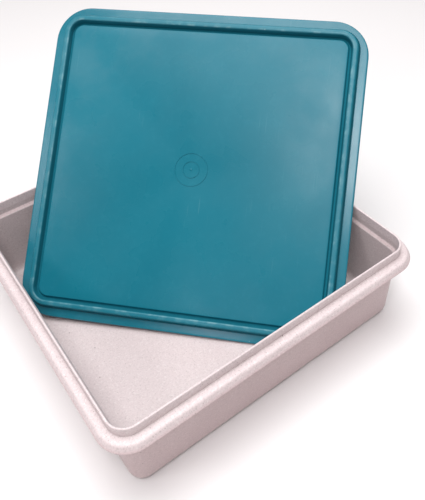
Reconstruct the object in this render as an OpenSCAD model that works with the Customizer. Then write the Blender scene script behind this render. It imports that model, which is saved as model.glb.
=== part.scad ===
// Shallow square food tub with a press-on seal lid.
// The lid stands in the tub on one edge and leans back on two sides of the rim.
// Millimetres, +Z up, origin at the middle of the tub's underside.

/* [Tub] */
// Width over the rim's upright lip, the same both ways
rim_w = 234; // [200:1:260]
// Height from the underside to the top of the lip
tub_h = 73.5; // [66:0.5:90]
// Radius of the lip's corners, seen from above
corner_r = 13.3; // [12.5:0.1:18]
// Thickness of the floor and the lower wall
wall_t = 1.8; // [1.4:0.1:2.2]
// Thickness of the upright lip
lip_t = 1.6; // [1.2:0.1:1.8]
// Rounding of the outside bottom edge
foot_r = 8; // [4:0.5:9]
// How far the lower wall stands in from the lip at the shoulder
shoulder_in = 1.8; // [1.6:0.1:2.2]
// How far the lower wall leans in from the shoulder to the underside
draft_in = 0.9; // [0.3:0.1:1.2]

/* [Rim] */
// Height of the lip above the ledge
lip_h = 7.4; // [6:0.1:9]
// Width of the ledge outside the lip
ledge_w = 5.5; // [4:0.1:7]
// How far the ledge falls to its outer edge
ledge_fall = 0.8; // [0:0.1:1.2]
// Height of the skirt below the ledge
skirt_h = 5; // [3:0.1:6]
// How far the skirt flares out
skirt_flare = 2.9; // [1:0.1:4]
// Thickness of the ledge and the skirt
skirt_t = 1.5; // [1:0.1:2]

/* [Seal lid] */
// Width over the lid's flange, the same both ways
lid_w = 254; // [250:0.5:254]
// Radius of the flange's corners
lid_corner_r = 28; // [22:1:32]
// Thickness of the flange and the panel
lid_t = 1.1; // [0.9:0.1:1.3]
// Height of the raised bead above the flange
bead_h = 5.2; // [5:0.1:6.5]
// Height of the panel above the flange
panel_rise = 2.2; // [1.6:0.1:3]
// Depth of the flange's turned-down edge
edge_drop = 1.4; // [1.2:0.1:1.4]

/* [Leaning lid] */
// Slope of the leaning lid above level
lean_tilt = 41.5; // [41:0.1:42]
// Direction of the lid's lower edge, seen from above
lean_turn = -45.8; // [-46.5:0.1:-45.5]
// Turn of the lid in its own plane
lean_roll = -1.6; // [-1.8:0.1:-1.4]
// Middle of the leaning lid, from the middle of the tub's underside
lean_at = [34.9, 34.6, 89.2];

/* [Hidden] */
$fn = 96;
// Straight steps in each arc of the tub's section
arc_steps = 6;

// Corner centres are shared by every offset outline of the rim and the bead
core = rim_w / 2 - corner_r;
lip_out = corner_r;
lip_in = lip_out - lip_t;
ledge_out = lip_out + ledge_w;
skirt_out = ledge_out + skirt_flare;
ledge_z = tub_h - lip_h;
ledge_edge_z = ledge_z - ledge_fall;
skirt_z = ledge_edge_z - skirt_h;

// Lower wall, leaning in by draft_in over the height of the shoulder
shoulder_z = skirt_z;
wall_top = lip_out - shoulder_in;
lean = atan2(draft_in, shoulder_z);
foot_x = wall_top - draft_in;
foot_c = foot_x + foot_r * tan(lean) - foot_r / cos(lean);
shoulder_rise = 2.2;

// Bead channel of the lid: it straddles the top of the lip with this much room on each side.
// Inside the bead a groove of groove_w falls to the level of the flange before the panel.
lip_room = 0.15;
bead_wall = 0.9;
bead_out = lip_out + lip_room + bead_wall;
bead_in = lip_in - lip_room - bead_wall;
bead_root = 1.9;
groove_w = 3.35;
groove_side = 0.9;
panel_edge = bead_in - groove_w;
roof = bead_h - bead_wall;

// Mould marks at the middle of the panel: rings of these diameters, and a small pip
ring_d = [26, 13];
ring_w = 0.9;
ring_h = 0.35;
pip_d = 2.4;

// A profile carried round a square with rounded corners.
// The profile's x is measured outwards from the corner centres, and its y is up.
module around_square() {
    for (side = [0:3])
        rotate([0, 0, 90 * side]) {
            translate([core, core, 0])
                rotate([90, 0, 0])
                    linear_extrude(2 * core) children();
            translate([core, core, 0])
                rotate_extrude(angle = 90) children();
        }
}

// A flat square with round corners, w across
module round_square(w, r) {
    square([w, w - 2 * r], center = true);
    square([w - 2 * r, w], center = true);
    for (x = [-1, 1], y = [-1, 1])
        translate([x * (w / 2 - r), y * (w / 2 - r)])
            circle(r);
}

// Points round an arc about [x, y], from angle a to angle b
function arc(x, y, r, a, b) =
    [for (i = [0:arc_steps]) let (t = a + (b - a) * i / arc_steps)
        [x + r * cos(t), y + r * sin(t)]];

// Section of the tub from the corner centres outwards: floor, wall, shoulder, rim and lip
module tub_section() {
    polygon(concat(
        [[0, 0]],
        arc(foot_c, foot_r, foot_r, -90, -lean),
        [
            [wall_top, shoulder_z],
            [lip_out, shoulder_z + shoulder_rise],
            [lip_out, ledge_z - skirt_t],
            [ledge_out - skirt_t, ledge_edge_z - skirt_t],
            [skirt_out - skirt_t, skirt_z],
            [skirt_out, skirt_z],
            [ledge_out, ledge_edge_z],
            [lip_out, ledge_z]
        ],
        arc(lip_in + lip_t / 2, tub_h - lip_t / 2, lip_t / 2, 0, 180),
        [
            [lip_in, shoulder_z + shoulder_rise],
            [wall_top - wall_t, shoulder_z]
        ],
        arc(foot_c, foot_r, foot_r - wall_t, -lean, -90),
        [[0, wall_t]]
    ));
}

module tub() {
    color([0.86, 0.81, 0.81])
        union() {
            around_square() tub_section();
            translate([-core, -core, 0])
                cube([2 * core, 2 * core, wall_t]);
        }
}

// Section of the lid from the corner centres out to the inner part of the flange
module lid_section() {
    polygon([
        [0, panel_rise - lid_t],
        [panel_edge - bead_wall, panel_rise - lid_t],
        [panel_edge + groove_side - bead_wall, -lid_t],
        [bead_in - groove_side + bead_wall, -lid_t],
        [bead_in + bead_wall, roof],
        [bead_out - bead_wall, roof],
        [bead_out + bead_root - bead_wall, -lid_t],
        [bead_out + bead_root + 1, -lid_t],
        [bead_out + bead_root + 1, 0],
        [bead_out + bead_root, 0],
        [bead_out, bead_h],
        [bead_in, bead_h],
        [bead_in - groove_side, 0],
        [panel_edge + groove_side, 0],
        [panel_edge, panel_rise],
        [0, panel_rise]
    ]);
}

module flange() {
    inner_w = 2 * (core + bead_out + bead_root + 0.5);
    inner_r = bead_out + bead_root + 0.5;
    translate([0, 0, -lid_t])
        linear_extrude(lid_t)
            difference() {
                round_square(lid_w, lid_corner_r);
                round_square(inner_w, inner_r);
            }
    // Turned-down edge
    translate([0, 0, -edge_drop])
        linear_extrude(edge_drop)
            difference() {
                round_square(lid_w, lid_corner_r);
                round_square(lid_w - 2 * lid_t, lid_corner_r - lid_t);
            }
}

module mould_marks() {
    for (d = ring_d)
        translate([0, 0, panel_rise])
            difference() {
                translate([0, 0, -lid_t / 2])
                    cylinder(h = lid_t / 2 + ring_h, d = d);
                translate([0, 0, -lid_t])
                    cylinder(h = 2 * lid_t, d = d - 2 * ring_w);
            }
    translate([0, 0, panel_rise - lid_t / 2])
        cylinder(h = lid_t / 2 + ring_h, d = pip_d);
}

module seal_lid() {
    color([0.10, 0.45, 0.52])
        translate(lean_at)
            rotate([0, 0, lean_turn])
                rotate([lean_tilt, 0, 0])
                    rotate([0, 0, lean_roll])
                        union() {
                            around_square() lid_section();
                            translate([-core, -core, panel_rise - lid_t])
                                cube([2 * core, 2 * core, lid_t]);
                            flange();
                            mould_marks();
                        }
}

tub();
seal_lid();
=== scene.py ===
"""Square food tub with its press-on seal lid leaning inside it."""
import math

import bmesh
import bpy
from mathutils import Matrix, Vector


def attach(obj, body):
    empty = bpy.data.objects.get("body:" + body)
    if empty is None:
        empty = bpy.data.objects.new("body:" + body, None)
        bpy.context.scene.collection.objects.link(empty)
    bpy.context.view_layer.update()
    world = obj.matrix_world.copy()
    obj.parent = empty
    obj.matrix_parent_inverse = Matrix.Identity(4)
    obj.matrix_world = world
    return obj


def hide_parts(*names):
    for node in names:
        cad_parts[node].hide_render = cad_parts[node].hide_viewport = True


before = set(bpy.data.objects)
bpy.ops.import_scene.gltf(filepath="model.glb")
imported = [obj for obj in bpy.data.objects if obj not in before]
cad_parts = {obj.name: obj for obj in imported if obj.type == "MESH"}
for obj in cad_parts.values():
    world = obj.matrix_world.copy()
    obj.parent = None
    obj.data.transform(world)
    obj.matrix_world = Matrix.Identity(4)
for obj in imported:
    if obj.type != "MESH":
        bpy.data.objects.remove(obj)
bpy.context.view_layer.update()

MM = 0.001
# A point this near a place counts as being on it, and points this near each other are welded
NEAR = 0.01 * MM
WELD = 0.005 * MM

# The rim and the bead are drawn about corner centres at plus and minus this in X and Y
RIM_CORE = 103.7 * MM
CORNER_STEPS = 16
SIDE_STEPS = 10
ROUNDING_STEPS = 5
SHARP_OVER = math.radians(50)

# Tub section from the corner centres outwards, underside first: across, up, rounding, in mm
TUB_H = 73.5
TUB_FLOOR = 1.8
FLOOR_EDGE = 8.83
FOOT_OUT = 10.6
WALL_IN = 9.7
WALL_OUT = 11.5
WALL_TOP = 60.3
SHOULDER_TOP = 62.5
LIP_OUT = 13.3
LIP_IN = 11.7
LEDGE_ROOT = 66.1
LEDGE_OUT = 18.8
LEDGE_EDGE = 65.3
SKIRT_OUT = 21.7
SKIRT_FOOT = 60.3
TUB_SECTION = (
    (0.0, 0.0, 0.0),
    (FOOT_OUT, 0.0, 8.0),
    (WALL_OUT, WALL_TOP, 1.4),
    (LIP_OUT, SHOULDER_TOP, 1.2),
    (LIP_OUT, 64.6, 0.8),
    (17.3, 63.8, 1.2),
    (20.1, SKIRT_FOOT, 0.4),
    (SKIRT_OUT, SKIRT_FOOT, 0.7),
    (LEDGE_OUT, LEDGE_EDGE, 2.2),
    (LIP_OUT, LEDGE_ROOT, 0.6),
    (LIP_OUT, TUB_H, 0.75),
    (LIP_IN, TUB_H, 0.75),
    (LIP_IN, SHOULDER_TOP, 1.6),
    (WALL_IN, WALL_TOP, 1.6),
    (FLOOR_EDGE, TUB_FLOOR, 6.2),
    (0.0, TUB_FLOOR, 0.0),
)

# Lid, measured up from the top of its flange: panel, groove, bead and the root of the flange
PANEL_RISE = 2.2
PANEL_EDGE = 7.3
GROOVE_SIDE = 0.9
BEAD_IN = 10.65
BEAD_OUT = 14.35
BEAD_H = 5.2
FLANGE_ROOT = 16.25
FLANGE_IN = 17.0
LID_WALL = 0.9
LID_SECTION = (
    (0.0, PANEL_RISE, 0.0),
    (PANEL_EDGE, PANEL_RISE, 1.0),
    (PANEL_EDGE + GROOVE_SIDE, 0.0, 0.7),
    (BEAD_IN - GROOVE_SIDE, 0.0, 0.7),
    (BEAD_IN, BEAD_H, 1.2),
    (BEAD_OUT, BEAD_H, 1.2),
    (FLANGE_ROOT, 0.0, 0.7),
    (FLANGE_IN, 0.0, 0.0),
)
# The flange's outer edge turns about corner centres of its own
FLANGE_CORE = 99.0 * MM
FLANGE_BEND = 26.0
FLANGE_R = 28.0
FLANGE_DROP = 1.5
FLANGE_SECTION = (
    (FLANGE_BEND, 0.0, 0.0),
    (FLANGE_R, 0.0, 1.1),
    (FLANGE_R, -FLANGE_DROP, 0.0),
)
# Mould marks at the middle of the panel
MARK_STEPS = 48
RING_RADII = (13.0, 6.5)
RING_W = 0.9
RING_H = 0.3
PIP_R = 1.2
PIP_TOP_R = 0.84
MARK_SINK = 0.35

# Where the lid leans: turned about Z, tilted about X, and rolled in its own plane
LEAN_AT = Vector((34.9, 34.6, 89.2)) * MM
LEAN_TURN = math.radians(-45.8)
LEAN_TILT = math.radians(41.5)
LEAN_ROLL = math.radians(-1.6)
LEAN = (
    Matrix.Translation(LEAN_AT)
    @ Matrix.Rotation(LEAN_TURN, 4, "Z")
    @ Matrix.Rotation(LEAN_TILT, 4, "X")
    @ Matrix.Rotation(LEAN_ROLL, 4, "Z")
)


# ---------------------------------------------------------------- modelling

def start_piece(name):
    """Begins a piece as a single point at the origin, ready to be drawn out in edit mode."""
    bpy.ops.object.select_all(action="DESELECT")
    bpy.ops.mesh.primitive_plane_add(size=MM, location=(0, 0, 0))
    piece = bpy.context.object
    piece.name = name
    piece.data.name = name
    bpy.ops.object.mode_set(mode="EDIT")
    bpy.ops.mesh.select_mode(type="VERT")
    bpy.ops.mesh.select_all(action="SELECT")
    bpy.ops.mesh.merge(type="CENTER")
    return piece


def select_points(piece, keep):
    """Selects the points, and what lies between them, that keep(co) says yes to."""
    bpy.ops.mesh.select_mode(type="VERT")
    bpy.ops.mesh.select_all(action="DESELECT")
    cage = bmesh.from_edit_mesh(piece.data)
    for point in cage.verts:
        if keep(point.co):
            point.select_set(True)
    cage.select_flush_mode()
    bmesh.update_edit_mesh(piece.data)


def draw_line(places):
    """Moves the single point to the first place and extrudes it on to the others."""
    bpy.ops.transform.translate(value=places[0])
    for here, there in zip(places, places[1:]):
        bpy.ops.mesh.extrude_region_move(TRANSFORM_OT_translate={"value": there - here})


def draw_section(piece, section, core):
    """Draws a section outwards from the front right corner centre and rounds its corners."""
    origin = Vector((core, -core, 0))
    places = [origin + Vector((x, 0, z)) * MM for x, z, _ in section]
    draw_line(places)
    for i in range(1, len(section) - 1):
        radius = section[i][2] * MM
        if not radius:
            continue
        coming = places[i] - places[i - 1]
        going = places[i + 1] - places[i]
        setback = radius * math.tan(coming.angle(going) / 2)
        select_points(piece, lambda co: (co - places[i]).length < NEAR)
        bpy.ops.mesh.bevel(
            offset=setback, segments=ROUNDING_STEPS, profile=0.5, affect="VERTICES"
        )


def sweep_square(core):
    """Carries the selected section round a square: four straight sides and four turned corners."""
    bpy.ops.mesh.select_all(action="SELECT")
    side = 2 * core / SIDE_STEPS
    runs = ((0, side), (-side, 0), (0, -side), (side, 0))
    corners = ((core, core), (-core, core), (-core, -core), (core, -core))
    for run, corner in zip(runs, corners):
        for _ in range(SIDE_STEPS):
            bpy.ops.mesh.extrude_region_move(TRANSFORM_OT_translate={"value": (*run, 0)})
        bpy.ops.mesh.spin(
            steps=CORNER_STEPS, angle=-math.pi / 2, center=(*corner, 0), axis=(0, 0, 1)
        )
    weld_all()


def weld_all():
    """Merges the points where one run of the sweep ends and the next begins."""
    bpy.ops.mesh.select_all(action="SELECT")
    bpy.ops.mesh.remove_doubles(threshold=WELD)


def fill_middle(piece, up):
    """Closes the open square between the corner centres, at that height, with a grid."""

    def on_square(co):
        return abs(co.z - up) < NEAR and max(abs(co.x), abs(co.y)) < RIM_CORE + NEAR

    select_points(piece, on_square)
    cage = bmesh.from_edit_mesh(piece.data)
    for point in cage.verts:
        if point.select and min(point.co.x, point.co.y) > RIM_CORE - NEAR:
            cage.select_history.clear()
            cage.select_history.add(point)
    bmesh.update_edit_mesh(piece.data)
    bpy.ops.mesh.fill_grid(span=SIDE_STEPS)


def finish_piece(piece):
    """Points the faces outwards, leaves edit mode and smooths all but the sharp edges."""
    bpy.ops.mesh.select_all(action="SELECT")
    bpy.ops.mesh.normals_make_consistent(inside=False)
    bpy.ops.object.mode_set(mode="OBJECT")
    bpy.ops.object.select_all(action="DESELECT")
    piece.select_set(True)
    bpy.context.view_layer.objects.active = piece
    bpy.ops.object.shade_smooth_by_angle(angle=SHARP_OVER)


def make_tub():
    """Floor, walls, lip, ledge and skirt swept as one closed section."""
    tub = start_piece("speckled_tub")
    draw_section(tub, TUB_SECTION, RIM_CORE)
    sweep_square(RIM_CORE)
    fill_middle(tub, 0.0)
    fill_middle(tub, TUB_FLOOR * MM)
    weld_all()
    finish_piece(tub)
    return tub


def sweep_part(name, section, core):
    """An open skin: its section is drawn and carried round the square."""
    part = start_piece(name)
    draw_section(part, section, core)
    sweep_square(core)
    bpy.ops.object.mode_set(mode="OBJECT")
    return part


def spin_mark(name, places):
    """A small raised mark: its section is drawn and spun about the panel's middle."""
    mark = start_piece(name)
    draw_line([Vector((x, 0, PANEL_RISE + z)) * MM for x, z in places])
    bpy.ops.mesh.select_all(action="SELECT")
    bpy.ops.mesh.spin(
        steps=MARK_STEPS, angle=2 * math.pi, center=(0, 0, 0), axis=(0, 0, 1)
    )
    weld_all()
    bpy.ops.mesh.normals_make_consistent(inside=False)
    bpy.ops.object.mode_set(mode="OBJECT")
    return mark


def make_mould_marks():
    """Two low rings and a pip, each sunk a little into the panel."""
    foot = (RING_W / 2, -MARK_SINK)
    top = (RING_W / 4, RING_H)
    marks = []
    for radius in RING_RADII:
        section = (
            (radius - foot[0], foot[1]),
            (radius - top[0], top[1]),
            (radius + top[0], top[1]),
            (radius + foot[0], foot[1]),
            (radius - foot[0], foot[1]),
        )
        marks.append(spin_mark("mould_ring", section))
    pip = ((0, RING_H), (PIP_TOP_R, RING_H), (PIP_R, 0), (PIP_R, -MARK_SINK), (0, -MARK_SINK))
    marks.append(spin_mark("mould_pip", pip))
    return marks


def join_into(target, parts):
    """Joins parts to the target, which keeps its name."""
    bpy.ops.object.select_all(action="DESELECT")
    for part in (target, *parts):
        part.select_set(True)
    bpy.context.view_layer.objects.active = target
    bpy.ops.object.join()


def past_square(co, core):
    """How far out a place lies from the square with its corners at plus and minus core."""
    return math.hypot(max(abs(co.x) - core, 0), max(abs(co.y) - core, 0))


def on_flange_loops(co):
    """True on the two open edges that the flat of the flange is filled between."""
    at_root = abs(past_square(co, RIM_CORE) - FLANGE_IN * MM) < 2 * NEAR
    at_bend = abs(past_square(co, FLANGE_CORE) - FLANGE_BEND * MM) < 2 * NEAR
    return abs(co.z) < WELD and (at_root or at_bend)


def make_lid():
    """Panel, bead and flange as one open skin, given its wall, its marks and its lean."""
    edge = sweep_part("flange_edge", FLANGE_SECTION, FLANGE_CORE)
    lid = sweep_part("press_on_lid", LID_SECTION, RIM_CORE)
    join_into(lid, [edge])
    bpy.ops.object.mode_set(mode="EDIT")
    fill_middle(lid, PANEL_RISE * MM)
    select_points(lid, on_flange_loops)
    bpy.ops.mesh.fill(use_beauty=True)
    finish_piece(lid)

    wall = lid.modifiers.new("lid wall", "SOLIDIFY")
    wall.thickness = LID_WALL * MM
    wall.offset = -1
    wall.use_even_offset = True
    bpy.ops.object.modifier_apply(modifier=wall.name)

    join_into(lid, make_mould_marks())
    bpy.ops.object.shade_smooth_by_angle(angle=SHARP_OVER)

    lid.matrix_world = LEAN
    bpy.ops.object.transform_apply(location=True, rotation=True, scale=True)
    return lid


# ---------------------------------------------------------------- materials

PLASTIC_IOR = 1.49


def add_node(tree, kind, **values):
    """A shader node with settings by attribute name and inputs by socket name."""
    node = tree.nodes.new(kind)
    for name, value in values.items():
        if hasattr(node, name):
            setattr(node, name, value)
        else:
            node.inputs[name.replace("_", " ")].default_value = value
    return node


def wire(tree, source, target):
    """Joins an output socket to an input socket."""
    tree.links.new(source, target)


def do_math(tree, operation, first, second=None):
    """A maths node fed by sockets or plain numbers, and the socket that it puts out."""
    node = tree.nodes.new("ShaderNodeMath")
    node.operation = operation
    for slot, value in ((0, first), (1, second)):
        if value is None:
            continue
        if isinstance(value, (int, float)):
            node.inputs[slot].default_value = value
        else:
            wire(tree, value, node.inputs[slot])
    return node.outputs[0]


def times(tree, first, second):
    return do_math(tree, "MULTIPLY", first, second)


def plus(tree, first, second):
    return do_math(tree, "ADD", first, second)


def ramp(tree, value, low, high, out_low=0.0, out_high=1.0):
    """A smooth step of a value from low to high."""
    node = tree.nodes.new("ShaderNodeMapRange")
    node.interpolation_type = "SMOOTHSTEP"
    wire(tree, value, node.inputs["Value"])
    node.inputs["From Min"].default_value = low
    node.inputs["From Max"].default_value = high
    node.inputs["To Min"].default_value = out_low
    node.inputs["To Max"].default_value = out_high
    return node.outputs["Result"]


def tint(tree, mask, below, above, share=None, blend="MIX"):
    """Lays one colour over another where the mask says, or only a share of it."""
    if share is not None:
        mask = times(tree, mask, share)
    node = tree.nodes.new("ShaderNodeMix")
    node.data_type = "RGBA"
    node.blend_type = blend
    node.clamp_factor = True
    wire(tree, mask, node.inputs["Factor"])
    a, b = [s for s in node.inputs if s.type == "RGBA"]
    for socket, value in ((a, below), (b, above)):
        if isinstance(value, tuple):
            socket.default_value = (*value, 1.0)
        else:
            wire(tree, value, socket)
    return [s for s in node.outputs if s.type == "RGBA"][0]


def noise(tree, vector, scale, detail=2.0, roughness=0.5):
    """A soft random pattern: the higher the scale, the finer it is."""
    node = add_node(tree, "ShaderNodeTexNoise", Scale=scale, Detail=detail, Roughness=roughness)
    wire(tree, vector, node.inputs["Vector"])
    return node.outputs[0]


def split_vector(tree, vector):
    """The X, Y and Z of a place, or the three random numbers of a cell colour."""
    split = add_node(tree, "ShaderNodeSeparateXYZ")
    wire(tree, vector, split.inputs[0])
    return split.outputs


def new_group(name, inputs, outputs):
    """An empty node group; inputs maps a name to its socket type and first value."""
    group = bpy.data.node_groups.new(name, "ShaderNodeTree")
    for socket_name, (kind, value) in inputs.items():
        socket = group.interface.new_socket(
            name=socket_name, in_out="INPUT", socket_type="NodeSocket" + kind
        )
        if value is not None:
            socket.default_value = value
    for socket_name in outputs:
        group.interface.new_socket(
            name=socket_name, in_out="OUTPUT", socket_type="NodeSocketFloat"
        )
    start = group.nodes.new("NodeGroupInput")
    end = group.nodes.new("NodeGroupOutput")
    return group, start.outputs, end.inputs


def square_distance_group():
    """How far out a point lies from the square that joins the rim's corner centres."""
    group, start, end = new_group("Square_Rim_Distance", {"Vector": ("Vector", None)}, ["Outward"])
    split = split_vector(group, start["Vector"])
    squares = []
    for axis in ("X", "Y"):
        size = do_math(group, "ABSOLUTE", split[axis])
        past = do_math(group, "MAXIMUM", do_math(group, "SUBTRACT", size, RIM_CORE), 0.0)
        squares.append(times(group, past, past))
    wire(group, do_math(group, "SQRT", plus(group, *squares)), end["Outward"])
    return group


def flecks_group():
    """Scattered flecks of colour: a share of the cells carry a dot of a random size."""
    group, start, end = new_group(
        "Moulded_In_Flecks",
        {
            "Vector": ("Vector", None),
            "Spacing": ("Float", 0.005),
            "Radius": ("Float", 0.0005),
            "Share": ("Float", 0.5),
        },
        ["Mask"],
    )
    cells = add_node(group, "ShaderNodeTexVoronoi", feature="F1")
    wire(group, start["Vector"], cells.inputs["Vector"])
    wire(group, do_math(group, "DIVIDE", 1.0, start["Spacing"]), cells.inputs["Scale"])
    pick = split_vector(group, cells.outputs["Color"])
    chosen = do_math(group, "LESS_THAN", pick["X"], start["Share"])
    # Each fleck is 0.6 to 1.4 times the stated radius, with a soft edge
    grown = plus(group, times(group, pick["Y"], 0.8), 0.6)
    reach = do_math(group, "DIVIDE", start["Radius"], start["Spacing"])
    from_middle = do_math(group, "DIVIDE", cells.outputs["Distance"], times(group, reach, grown))
    dot = ramp(group, from_middle, 1.15, 0.7)
    wire(group, times(group, dot, chosen), end["Mask"])
    return group


def scratches_group():
    """Fine handling scratches that run three ways and come in patches."""
    group, start, end = new_group(
        "Handling_Scratches", {"Vector": ("Vector", None), "Wear": ("Float", 0.5)}, ["Mask"]
    )
    # Turn in radians, then how fine the pattern is across and along the scratch
    ways = ((0.45, 900.0, 26.0), (-0.9, 700.0, 18.0), (1.35, 1100.0, 34.0))
    total = None
    for turn, across, along in ways:
        turned = add_node(group, "ShaderNodeMapping")
        turned.inputs["Rotation"].default_value = (0, 0, turn)
        turned.inputs["Scale"].default_value = (across, along, along)
        wire(group, start["Vector"], turned.inputs["Vector"])
        line = ramp(group, noise(group, turned.outputs[0], 1.0, 1.0), 0.70, 0.78)
        total = line if total is None else do_math(group, "MAXIMUM", total, line)
    where = ramp(group, noise(group, start["Vector"], 19.0), 0.50, 0.68)
    wire(group, times(group, times(group, total, where), start["Wear"]), end["Mask"])
    return group


def use_group(tree, group, vector, **values):
    """Places a node group with its own values, and gives back the mask that it puts out."""
    node = tree.nodes.new("ShaderNodeGroup")
    node.node_tree = group
    wire(tree, vector, node.inputs["Vector"])
    for name, value in values.items():
        node.inputs[name].default_value = value
    return node.outputs[0]


def new_material(name):
    """A material with only a plastic shader and its output."""
    material = bpy.data.materials.new(name)
    material.use_nodes = True
    tree = material.node_tree
    tree.nodes.clear()
    shader = add_node(tree, "ShaderNodeBsdfPrincipled")
    out = add_node(tree, "ShaderNodeOutputMaterial")
    wire(tree, shader.outputs[0], out.inputs["Surface"])
    shader.inputs["IOR"].default_value = PLASTIC_IOR
    return material, tree, shader


def object_place(tree):
    """Object coordinates, in metres."""
    return add_node(tree, "ShaderNodeTexCoord").outputs["Object"]


def raise_surface(tree, shader, layers):
    """Chains bump nodes: each layer is a height, how strong it is and how tall."""
    normal = None
    for height, strength, tall in layers:
        bump = add_node(tree, "ShaderNodeBump", Strength=strength, Distance=tall)
        wire(tree, height, bump.inputs["Height"])
        if normal is not None:
            wire(tree, normal, bump.inputs["Normal"])
        normal = bump.outputs[0]
    wire(tree, normal, shader.inputs["Normal"])


def tub_material(rim_distance, flecks, scratches):
    """Pale pinkish grey plastic with a fine granite speckle, matt, rubbed on the lip, with painted
    shade in the creases and on the outer walls.
    """
    material, tree, shader = new_material("speckled_tub_plastic")
    place = object_place(tree)
    up = split_vector(tree, place)["Z"]
    outward = use_group(tree, rim_distance, place)

    stone_dark = (0.68, 0.588, 0.596)
    stone_light = (0.73, 0.640, 0.645)
    grey_grain = (0.52, 0.45, 0.455)
    pale_grain = (0.86, 0.81, 0.80)
    brown_fleck = (0.34, 0.28, 0.28)
    black_fleck = (0.16, 0.12, 0.12)
    rubbed_pale = (0.84, 0.78, 0.78)
    # Painted shade, with some soil, for the root of the lip and the foot of the walls
    soil_and_shade_brown = (0.40, 0.34, 0.33)
    # Painted shade for the outer walls below the skirt
    wall_shade_pink = (0.985, 0.915, 0.92)
    scratch_white = (0.90, 0.86, 0.86)

    # Granite look: cloudy base, dark and pale grain, small brown flecks and a few black ones
    clouds = ramp(tree, noise(tree, place, 13.0, 3.0), 0.3, 0.7)
    colour = tint(tree, clouds, stone_dark, stone_light)
    mottle = ramp(tree, noise(tree, place, 900.0, 3.0, 0.65), 0.48, 0.64, 0.0, 0.50)
    colour = tint(tree, mottle, colour, grey_grain)
    pale = ramp(tree, noise(tree, place, 620.0, 2.0, 0.6), 0.54, 0.68, 0.0, 0.45)
    colour = tint(tree, pale, colour, pale_grain)
    small = use_group(tree, flecks, place, Spacing=1.6 * MM, Radius=0.35 * MM, Share=0.35)
    colour = tint(tree, small, colour, brown_fleck, share=0.48)
    few = use_group(tree, flecks, place, Spacing=9.0 * MM, Radius=0.5 * MM, Share=0.28)
    colour = tint(tree, few, colour, black_fleck, share=0.7)

    # Rubbed top of the lip: a little paler and smoother
    lip_top = ramp(tree, up, (TUB_H - 0.9) * MM, (TUB_H - 0.1) * MM)
    patchy = ramp(tree, noise(tree, place, 60.0, 3.0), 0.35, 0.6, 0.35, 1.0)
    rubbed = times(tree, lip_top, patchy)
    colour = tint(tree, rubbed, colour, rubbed_pale, share=0.06)

    # Painted shade, with some soil, darkening the root of the lip and along the foot of the walls
    root_across = ramp(tree, outward, (LIP_OUT + 1.4) * MM, (LIP_OUT + 0.1) * MM)
    root_up = ramp(tree, up, (LEDGE_ROOT + 1.1) * MM, (LEDGE_ROOT - 0.1) * MM)
    foot_up = ramp(tree, up, (TUB_FLOOR + 7.2) * MM, (TUB_FLOOR + 0.1) * MM, 0.0, 0.5)
    near_wall = ramp(tree, outward, 2.0 * MM, 8.0 * MM)
    root_soil_and_shade = times(tree, root_across, root_up)
    soil_and_shade = do_math(tree, "MAXIMUM", root_soil_and_shade, times(tree, foot_up, near_wall))
    colour = tint(tree, soil_and_shade, colour, soil_and_shade_brown, share=0.28)

    # Painted shade: the outer walls below the skirt are made a little pinker and darker than the
    # inside
    outside = ramp(tree, outward, (WALL_IN + 0.1) * MM, (FOOT_OUT - 0.1) * MM)
    below_skirt = ramp(tree, up, (SKIRT_FOOT + 3.2) * MM, (SKIRT_FOOT + 0.7) * MM)
    painted_wall_shade = times(tree, outside, below_skirt)
    colour = tint(tree, painted_wall_shade, colour, wall_shade_pink, blend="MULTIPLY")

    marks = use_group(tree, scratches, place, Wear=0.5)
    colour = tint(tree, marks, colour, scratch_white, share=0.35)
    wire(tree, colour, shader.inputs["Base Color"])

    rough = ramp(tree, noise(tree, place, 34.0, 4.0), 0.3, 0.7, 0.44, 0.58)
    rough = do_math(tree, "SUBTRACT", rough, times(tree, rubbed, 0.12))
    wire(tree, rough, shader.inputs["Roughness"])
    waves = noise(tree, place, 20.0, 1.0)
    grain = noise(tree, place, 1500.0, 2.0)
    raise_surface(
        tree,
        shader,
        ((waves, 0.25, 1.2 * MM), (grain, 0.22, 0.16 * MM), (marks, 0.25, -0.05 * MM)),
    )
    return material


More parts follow.
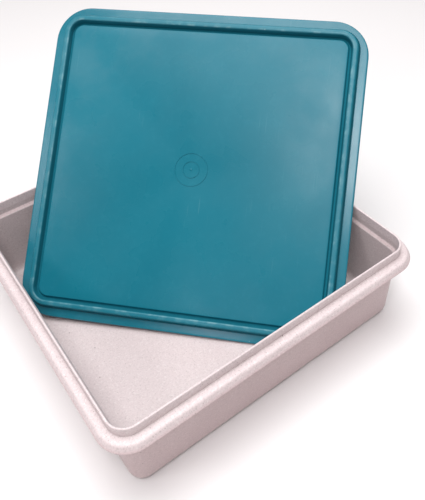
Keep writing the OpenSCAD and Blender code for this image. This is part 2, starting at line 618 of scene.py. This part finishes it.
def lid_material(rim_distance, flecks, scratches):
    """Teal plastic with a satin gloss, worn on the bead, the flange and the raised edge, with a
    painted highlight on the bead's crest and a painted sheen on the flange and the raised edge.
    """
    material, tree, shader = new_material("teal_lid_plastic")
    shader.inputs["Specular IOR Level"].default_value = 0.21
    shader.inputs["Coat Roughness"].default_value = 0.22

    # The pattern is laid on the lid as if it were level: the lean is taken out first
    level = add_node(tree, "ShaderNodeMapping", vector_type="TEXTURE")
    level.inputs["Location"].default_value = LEAN.to_translation()
    level.inputs["Rotation"].default_value = LEAN.to_euler("XYZ")
    wire(tree, object_place(tree), level.inputs["Vector"])
    place = level.outputs[0]
    split = split_vector(tree, place)
    up = split["Z"]
    outward = use_group(tree, rim_distance, place)
    on_flange = ramp(tree, outward, FLANGE_ROOT * MM, (FLANGE_ROOT + 1.0) * MM)

    teal_dark = (0.002, 0.150, 0.211)
    teal_light = (0.006, 0.174, 0.241)
    streak_teal = (0.025, 0.235, 0.31)
    deep_shade = (0.001, 0.045, 0.066)
    rub_pale = (0.20, 0.42, 0.46)
    # Painted highlight, with rubbing, for the bead's inner crest
    crest_highlight_pale = (0.32, 0.52, 0.55)
    nick_pale = (0.42, 0.58, 0.60)
    scratch_pale = (0.16, 0.42, 0.48)
    # Painted sheen, with a film of handling, for the raised edge and the flange
    film_and_sheen_grey = (0.13, 0.27, 0.32)

    clouds = ramp(tree, noise(tree, place, 9.0, 3.0), 0.3, 0.7)
    colour = tint(tree, clouds, teal_dark, teal_light)
    streaks = ramp(tree, noise(tree, place, 260.0, 3.0), 0.5, 0.75, 0.0, 0.12)
    colour = tint(tree, streaks, colour, streak_teal)

    # Darker in the groove beside the bead and in the root of the flange
    groove_in = ramp(tree, outward, (PANEL_EDGE - 0.6) * MM, (PANEL_EDGE + 0.6) * MM)
    groove_out = ramp(tree, outward, (BEAD_IN + 0.3) * MM, (BEAD_IN - 0.5) * MM)
    groove = times(tree, groove_in, groove_out)
    root_in = ramp(tree, outward, (FLANGE_ROOT - 1.6) * MM, (FLANGE_ROOT - 0.5) * MM)
    root_out = ramp(tree, outward, (FLANGE_ROOT + 0.9) * MM, FLANGE_ROOT * MM)
    root = times(tree, root_in, root_out)
    shade = do_math(tree, "MAXIMUM", times(tree, groove, 0.25), times(tree, root, 0.7))
    colour = tint(tree, shade, colour, deep_shade)

    # Rubbing on top of the bead, and more along its inner crest, where a painted highlight is laid
    # as well
    bead_top = ramp(tree, up, (BEAD_H - 0.7) * MM, (BEAD_H - 0.05) * MM)
    rub_patch = ramp(tree, noise(tree, place, 160.0, 4.0), 0.45, 0.70, 0.2, 1.0)
    rubbed = times(tree, bead_top, rub_patch)
    colour = tint(tree, rubbed, colour, rub_pale, share=0.20)
    crest_in = ramp(tree, outward, (BEAD_IN - 0.1) * MM, (BEAD_IN + 0.3) * MM)
    crest_out = ramp(tree, outward, (BEAD_IN + 1.6) * MM, (BEAD_IN + 0.9) * MM)
    crest_highlight_and_rub = times(tree, times(tree, crest_in, crest_out), rub_patch)
    colour = tint(tree, crest_highlight_and_rub, colour, crest_highlight_pale, share=0.30)

    # Small pale nicks on the bead and the flange
    nicks = use_group(tree, flecks, place, Spacing=5.0 * MM, Radius=0.4 * MM, Share=0.12)
    flange_flat = ramp(tree, outward, (FLANGE_ROOT + 3.25) * MM, (FLANGE_ROOT + 5.75) * MM)
    exposed = do_math(tree, "MAXIMUM", bead_top, flange_flat)
    colour = tint(tree, times(tree, nicks, exposed), colour, nick_pale, share=0.5)

    marks = use_group(tree, scratches, place, Wear=0.8)
    colour = tint(tree, marks, colour, scratch_pale, share=0.22)

    # A thin film of handling with a painted sheen, strongest towards the raised edge and on the
    # flange
    reach = add_node(tree, "ShaderNodeVectorMath", operation="LENGTH")
    wire(tree, place, reach.inputs[0])
    off_middle = ramp(tree, reach.outputs["Value"], 45.0 * MM, 135.0 * MM)
    raised_edge = ramp(tree, split["Y"], -90.0 * MM, 60.0 * MM, 0.25, 1.0)
    film_and_sheen_patch = ramp(tree, noise(tree, place, 22.0, 4.0, 0.6), 0.40, 0.68, 0.15, 1.0)
    panel_film_and_sheen = times(tree, times(tree, off_middle, raised_edge), film_and_sheen_patch)
    flange_film_and_sheen = times(tree, times(tree, on_flange, film_and_sheen_patch), 0.65)
    film_and_sheen = do_math(tree, "MAXIMUM", panel_film_and_sheen, flange_film_and_sheen)
    film_and_sheen = times(tree, film_and_sheen, do_math(tree, "SUBTRACT", 1.0, groove))
    colour = tint(tree, film_and_sheen, colour, film_and_sheen_grey, share=0.22)
    wire(tree, colour, shader.inputs["Base Color"])

    # The flange is glossier than the panel, and the groove, scratches and rubbing are duller
    wire(tree, times(tree, on_flange, 0.30), shader.inputs["Coat Weight"])
    rough = ramp(tree, noise(tree, place, 26.0, 4.0), 0.3, 0.7, 0.25, 0.33)
    for mask, change in ((on_flange, -0.07), (groove, 0.6), (marks, 0.15), (rubbed, 0.06)):
        rough = plus(tree, rough, times(tree, mask, change))
    wire(tree, rough, shader.inputs["Roughness"])
    waves = noise(tree, place, 11.0, 1.0)
    grain = noise(tree, place, 900.0, 2.0)
    raise_surface(
        tree,
        shader,
        ((waves, 0.08, 1.6 * MM), (grain, 0.10, 0.08 * MM), (marks, 0.25, -0.04 * MM)),
    )
    return material


def floor_material():
    """Matt near-white table."""
    material, tree, shader = new_material("pale_table")
    shader.inputs["Roughness"].default_value = 0.8
    clouds = ramp(tree, noise(tree, object_place(tree), 2.0, 2.0), 0.3, 0.7)
    colour = tint(tree, clouds, (0.86, 0.86, 0.86), (0.88, 0.88, 0.88))
    wire(tree, colour, shader.inputs["Base Color"])
    return material


# ---------------------------------------------------------------- room

FLOOR_SIDES = 96
FLOOR_RADIUS = 9.0
FLOOR_INSET = 7.0
SURROUND_COLOUR = (1.0, 0.85, 0.86, 1)
SURROUND_STRENGTH = 0.24
BACKDROP_STRENGTH = 0.9
WHITE = (1.0, 1.0, 1.0)
ROSE = (1.0, 0.72, 0.76)
# Name, place, what it points at, size, power and colour
LIGHTS = (
    ("overhead_softbox", (0.03, 0.10, 1.5), (0.0, 0.0, 0.05), 1.3, 21.7, WHITE),
    ("front_softbox", (-0.34, -0.59, 1.42), (0.1, 0.0, 0.08), 0.42, 6.5, WHITE),
    ("left_window", (-0.92, 0.16, 1.02), (0.0, 0.1, 0.1), 0.36, 1.7, WHITE),
    ("low_window", (-0.835, -0.561, 0.875), (0.0, -0.05, 0.01), 0.26, 0.8, ROSE),
)
CAMERA_AT = (-0.1443, -0.2824, 0.3711)
CAMERA_TURN = (46.778, 2.386, -36.834)
SENSOR_WIDTH = 36.0
LENS = 42.0
SHIFT = (-0.047, -0.056)
CLIP_START = 0.01


def make_floor():
    """A round table top, inset once so that its middle is a face of its own."""
    bpy.ops.object.select_all(action="DESELECT")
    bpy.ops.mesh.primitive_circle_add(
        vertices=FLOOR_SIDES, radius=FLOOR_RADIUS, fill_type="NGON", location=(0, 0, 0)
    )
    floor = bpy.context.object
    floor.name = "table_top"
    bpy.ops.object.mode_set(mode="EDIT")
    bpy.ops.mesh.select_all(action="SELECT")
    bpy.ops.mesh.inset(thickness=FLOOR_INSET)
    bpy.ops.object.mode_set(mode="OBJECT")
    floor.data.materials.append(floor_material())
    return floor


def area_light(name, at, towards, size, power, colour):
    """A round soft light that faces what it points at."""
    data = bpy.data.lights.new(name, "AREA")
    data.shape = "DISK"
    data.size = size
    data.energy = power
    data.color = colour
    light = bpy.data.objects.new(name, data)
    bpy.context.scene.collection.objects.link(light)
    light.location = at
    aim = Vector(towards) - Vector(at)
    light.rotation_euler = aim.to_track_quat("-Z", "Y").to_euler()


def light_room():
    """Dim warm surroundings with a white backdrop, two softboxes and two small windows."""
    world = bpy.data.worlds.new("soft_room")
    world.use_nodes = True
    tree = world.node_tree
    surroundings = tree.nodes["Background"]
    surroundings.inputs["Color"].default_value = SURROUND_COLOUR
    surroundings.inputs["Strength"].default_value = SURROUND_STRENGTH
    backdrop = add_node(
        tree, "ShaderNodeBackground", Color=(*WHITE, 1), Strength=BACKDROP_STRENGTH
    )
    seen = add_node(tree, "ShaderNodeLightPath")
    either = add_node(tree, "ShaderNodeMixShader")
    wire(tree, seen.outputs["Is Camera Ray"], either.inputs[0])
    wire(tree, surroundings.outputs[0], either.inputs[1])
    wire(tree, backdrop.outputs[0], either.inputs[2])
    wire(tree, either.outputs[0], tree.nodes["World Output"].inputs["Surface"])
    bpy.context.scene.world = world
    for light in LIGHTS:
        area_light(*light)


def place_camera():
    """One still camera, high up in front of the tub's near corner."""
    data = bpy.data.cameras.new("front_camera")
    data.sensor_width = SENSOR_WIDTH
    data.lens = LENS
    data.shift_x, data.shift_y = SHIFT
    data.clip_start = CLIP_START
    camera = bpy.data.objects.new("front_camera", data)
    bpy.context.scene.collection.objects.link(camera)
    camera.location = CAMERA_AT
    camera.rotation_euler = [math.radians(angle) for angle in CAMERA_TURN]
    bpy.context.scene.camera = camera


# ---------------------------------------------------------------- assembly

place_camera()
light_room()
bpy.context.scene.view_settings.view_transform = "Standard"
make_floor()

rim_distance = square_distance_group()
flecks = flecks_group()
scratches = scratches_group()

tub = make_tub()
tub.data.materials.append(tub_material(rim_distance, flecks, scratches))
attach(tub, "tub")
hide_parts("tub")

lid = make_lid()
lid.data.materials.append(lid_material(rim_distance, flecks, scratches))
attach(lid, "seal_lid")
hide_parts("seal_lid")
